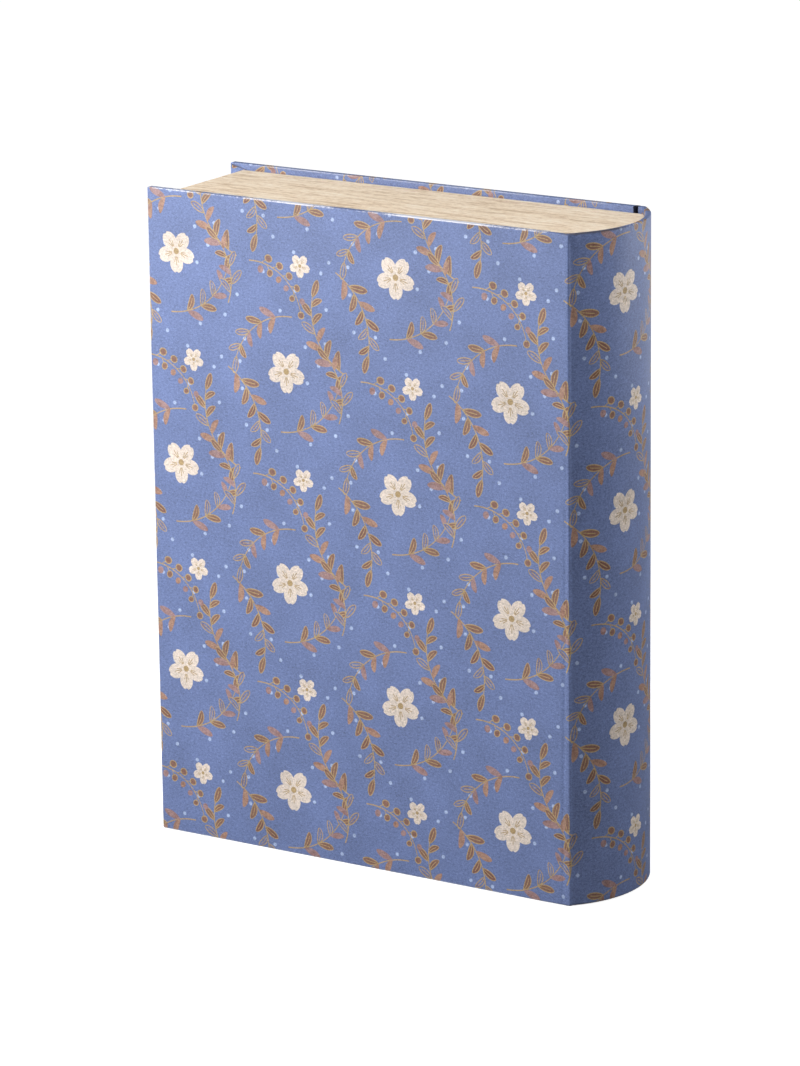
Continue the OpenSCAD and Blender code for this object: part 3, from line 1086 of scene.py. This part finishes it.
def lining_material(grain, name, light, dark):
    """Plain lining paper with faint laid lines, or pale card, between a light and a dark shade."""
    material, tree, shader = new_material(name)
    place = object_place(tree)
    tint, height = use_group(tree, grain, place, 0.6)
    laid = noise(tree, stretched(tree, place, (40.0, 40.0, 1300.0)), 1.0, 2.0, 0.5)
    colour = tinted(tree, mix_colour(tree, laid, dark, light), tint)
    roughness = calc("MULTIPLY_ADD", height, 0.15, 0.72)
    surface(tree, shader, colour, roughness, height + laid * 0.4, 0.08 * MM, 0.5)
    return material


def groove_shade_material(grain):
    """Printed paper in the hinge groove, painted near-black blue for the shade of its deep, narrow gap."""
    material, tree, shader = new_material("groove_painted_shade")
    tint, height = use_group(tree, grain, object_place(tree), 0.6)
    surface(tree, shader, tinted(tree, GROOVE_SHADE_BLUE[:3], tint), 0.8, height, 0.06 * MM, 0.5)
    return material


def steel_material():
    """Nickel plate with fine scratches along z."""
    material, tree, shader = new_material("nickel_plate")
    place = object_place(tree)
    lines = noise(tree, stretched(tree, place, (9000.0, 9000.0, 260.0)), 1.0, 3.0, 0.6)
    haze = noise(tree, place, 500.0, 2.0, 0.5)
    shader.inputs["Metallic"].default_value = 1.0
    colour = mix_colour(tree, haze, NICKEL_COOL, NICKEL_WARM)
    surface(tree, shader, colour, lines * 0.2 + haze * 0.1 + 0.18, lines, 0.01 * MM, 0.4)
    return material


# Dressing of the box

design = print_group()
grain = grain_group()
wear_and_light = wear_and_light_group()
pages = page_group()
PRINTED = printed_paper(design, grain, wear_and_light)
PAGE_END = page_paper(pages, grain, False)
PAGE_FORE = page_paper(pages, grain, True)
GREYBOARD = board_material(grain)
IVORY = lining_material(grain, "ivory_lining", IVORY_LIGHT, IVORY_DARK)
CARD = lining_material(grain, "pale_card", CARD_LIGHT, CARD_DARK)
GROOVE_SHADE = groove_shade_material(grain)
STEEL = steel_material()


def dress(piece, body, slot, material, *nodes):
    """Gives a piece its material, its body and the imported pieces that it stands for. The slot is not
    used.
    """
    piece.data.materials.clear()
    piece.data.materials.append(material)
    if body:
        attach(piece, body)
    if nodes:
        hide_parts(*nodes)


def repaint(node, material):
    """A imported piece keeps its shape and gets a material."""
    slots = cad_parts[node].material_slots
    for slot in slots:
        slot.material = material
    if not slots:
        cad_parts[node].data.materials.append(material)


def cover(piece, body, *nodes):
    """Gives a piece of the covering paper its print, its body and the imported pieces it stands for."""
    dress(piece, body, "printed_cover", PRINTED, *nodes)


cover(board_wrap("back_cover_sheet", BACK_Y, 1, SEAM_X, back_sheet_x, HEAD_EDGE_PAINTED_LIGHT), "box",
      "back_cover_paper")
for flap in board_flaps("back", TRAY_Y, 1, SEAM_X, back_sheet_x):
    cover(flap, "box")
cover(spine_wrap(), "box", "spine_cover_paper")
cover(spine_tabs("spine_head_tabs", True), "box")
cover(spine_tabs("spine_tail_tabs", False), "box")
cover(board_wrap("lid_cover_sheet", FRONT_Y, -1, LID_X, lid_sheet_x), "lid", "lid_cover_paper")
for flap in board_flaps("lid", LID_BOARD_Y - PAPER, -1, LID_X, lid_sheet_x):
    cover(flap, "lid")

for hinge, slot, material, node in (
        (outer_hinge(), "printed_cover", PRINTED, ["outer_hinge_paper"]),
        # The groove papers are printed paper, coloured near-black blue as painted shade of the gap
        (groove_paper("head_groove_paper", True), "printed_cover", GROOVE_SHADE, []),
        (groove_paper("tail_groove_paper", False), "printed_cover", GROOVE_SHADE, []),
        (inner_hinge(), "lining", IVORY, ["inner_hinge_strip"])):
    settle(hinge)
    dress(hinge, None, slot, material, *node)
    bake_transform(hinge)

dress(end_page("head_page_sheet", HEAD_PAGE_HIGH.z, HEAD_PAGE_LOW.z), "box", "page_edge", PAGE_END,
      "head_page_paper")
dress(end_page("tail_page_sheet", TAIL_PAGE_LOW.z, TAIL_PAGE_HIGH.z), "box", "page_edge", PAGE_END,
      "tail_page_paper")
dress(fore_edge_page(), "box", "page_edge", PAGE_FORE, "fore_edge_page_paper")

for node in ("back_board", "lid_board", "tray_floor", "head_wall", "tail_wall", "fore_edge_wall",
             "spine_wall"):
    repaint(node, GREYBOARD)
repaint("spine_shell", CARD)
for node in ("floor_lining", "head_lining", "tail_lining", "fore_edge_lining", "spine_lining",
             "lid_lining"):
    repaint(node, IVORY)
for node in ("closing_magnets", "lid_keepers"):
    repaint(node, STEEL)


# Stage, light and camera

def seen_by_camera(tree):
    """1 on rays that come straight from the camera."""
    return new_node(tree, "LightPath", "Is Camera Ray")


def floor():
    """A plain pale floor, lit from within like a light table where the camera sees it.

    It lies 0.2 mm under the box, and is darker for all other rays, so it throws little light upwards.
    """
    sides = np.array([-8.0, 8.0])
    under_box = -0.2 * MM
    grey, pale, glow = (0.35, 0.35, 0.35, 1), (0.62, 0.62, 0.62, 1), 0.7
    x, y = sides[:, None], sides[None, :]
    plane = new_piece("floor", [(stack(x, y, under_box), stack(x, y), 0.0, False)])
    material, tree, shader = new_material("white_floor")
    seen = seen_by_camera(tree)
    put(tree, shader.inputs["Base Color"], mix_colour(tree, seen, grey, pale))
    shader.inputs["Emission Color"].default_value = (1, 1, 1, 1)
    put(tree, shader.inputs["Emission Strength"], seen * glow)
    shader.inputs["Roughness"].default_value = 0.9
    shader.inputs["Specular IOR Level"].default_value = 0.0
    plane.data.materials.append(material)


def soft_light(name, place, aim, size, power):
    """A square area light at a place, turned to a point."""
    data = bpy.data.lights.new(name, "AREA")
    data.shape = "SQUARE"
    data.size = size
    data.energy = power
    light = new_object(name, data)
    light.location = place
    light.rotation_euler = (Vector(aim) - Vector(place)).to_track_quat("-Z", "Y").to_euler()
    light.visible_camera = False


def camera():
    """The photograph's view: a long lens, 32.4 degrees round from the back cover, 15.1 degrees up.

    The camera stands 1.92 m from the box's middle, moved a little within its own plane, and its
    lens is the focal length in pixels over the frame's height.
    """
    yaw, pitch, roll = math.radians(32.43), math.radians(15.07), math.radians(-0.686)
    away, centre_z = 1.9216, 0.130
    off_right, off_up = -0.00452, -0.00188
    frame_h, focal, sensor = 1066, 4966, 36
    right = Vector((math.cos(yaw), math.sin(yaw), 0))
    back = Vector((math.sin(yaw) * math.cos(pitch), -math.cos(yaw) * math.cos(pitch), math.sin(pitch)))
    up = back.cross(right)
    turned_right = math.cos(roll) * right + math.sin(roll) * up
    turned_up = math.cos(roll) * up - math.sin(roll) * right
    data = bpy.data.cameras.new("camera")
    data.sensor_width = sensor
    data.lens = sensor * focal / frame_h
    data.clip_end = 50
    eye = new_object("camera", data)
    turned = Matrix((turned_right, turned_up, back)).transposed().to_4x4()
    place = Vector((0, 0, centre_z)) + back * away + turned_right * off_right + turned_up * off_up
    eye.matrix_world = Matrix.Translation(place) @ turned
    bpy.context.scene.camera = eye


def studio_world():
    """Even surrounding light, pale where the camera sees it."""
    dim, pale = 0.25, 1.0
    world = bpy.data.worlds.new("studio")
    world.use_nodes = True
    tree = world.node_tree
    put(tree, tree.nodes["Background"].inputs["Strength"],
        calc("MULTIPLY_ADD", seen_by_camera(tree), pale - dim, dim))
    tree.nodes["Background"].inputs["Color"].default_value = (1, 1, 1, 1)
    bpy.context.scene.world = world


def overhead_sun(power, width):
    """Light from straight above, as soft as a sun so many degrees wide."""
    data = bpy.data.lights.new("overhead", "SUN")
    data.energy = power
    data.angle = math.radians(width)
    new_object("overhead", data)


# Each soft light: its place, the point that it is turned to, its size and its power
SOFT_LIGHTS = {
    "key": ((-0.36, -0.46, 0.43), (0, 0, 0.2), 0.18, 4.5),
    "low_fill": ((-0.55, -0.8, 0.15), (-0.05, 0, 0.2), 0.25, 1.5),
    "side": ((0.3, -0.12, 0.4), (0.1, 0, 0.22), 0.12, 0.25),
    "rear": ((0.36, 0.28, 0.26), (0.1, 0.02, 0.22), 0.14, 0.68),
    "far_rear": ((0.15, 0.6, 0.2), (0.1, 0.02, 0.22), 0.3, 0.37),
}

floor()
camera()
studio_world()
overhead_sun(0.9, 50)
for name, values in SOFT_LIGHTS.items():
    soft_light(name, *values)
bpy.context.scene.view_settings.view_transform = "Standard"
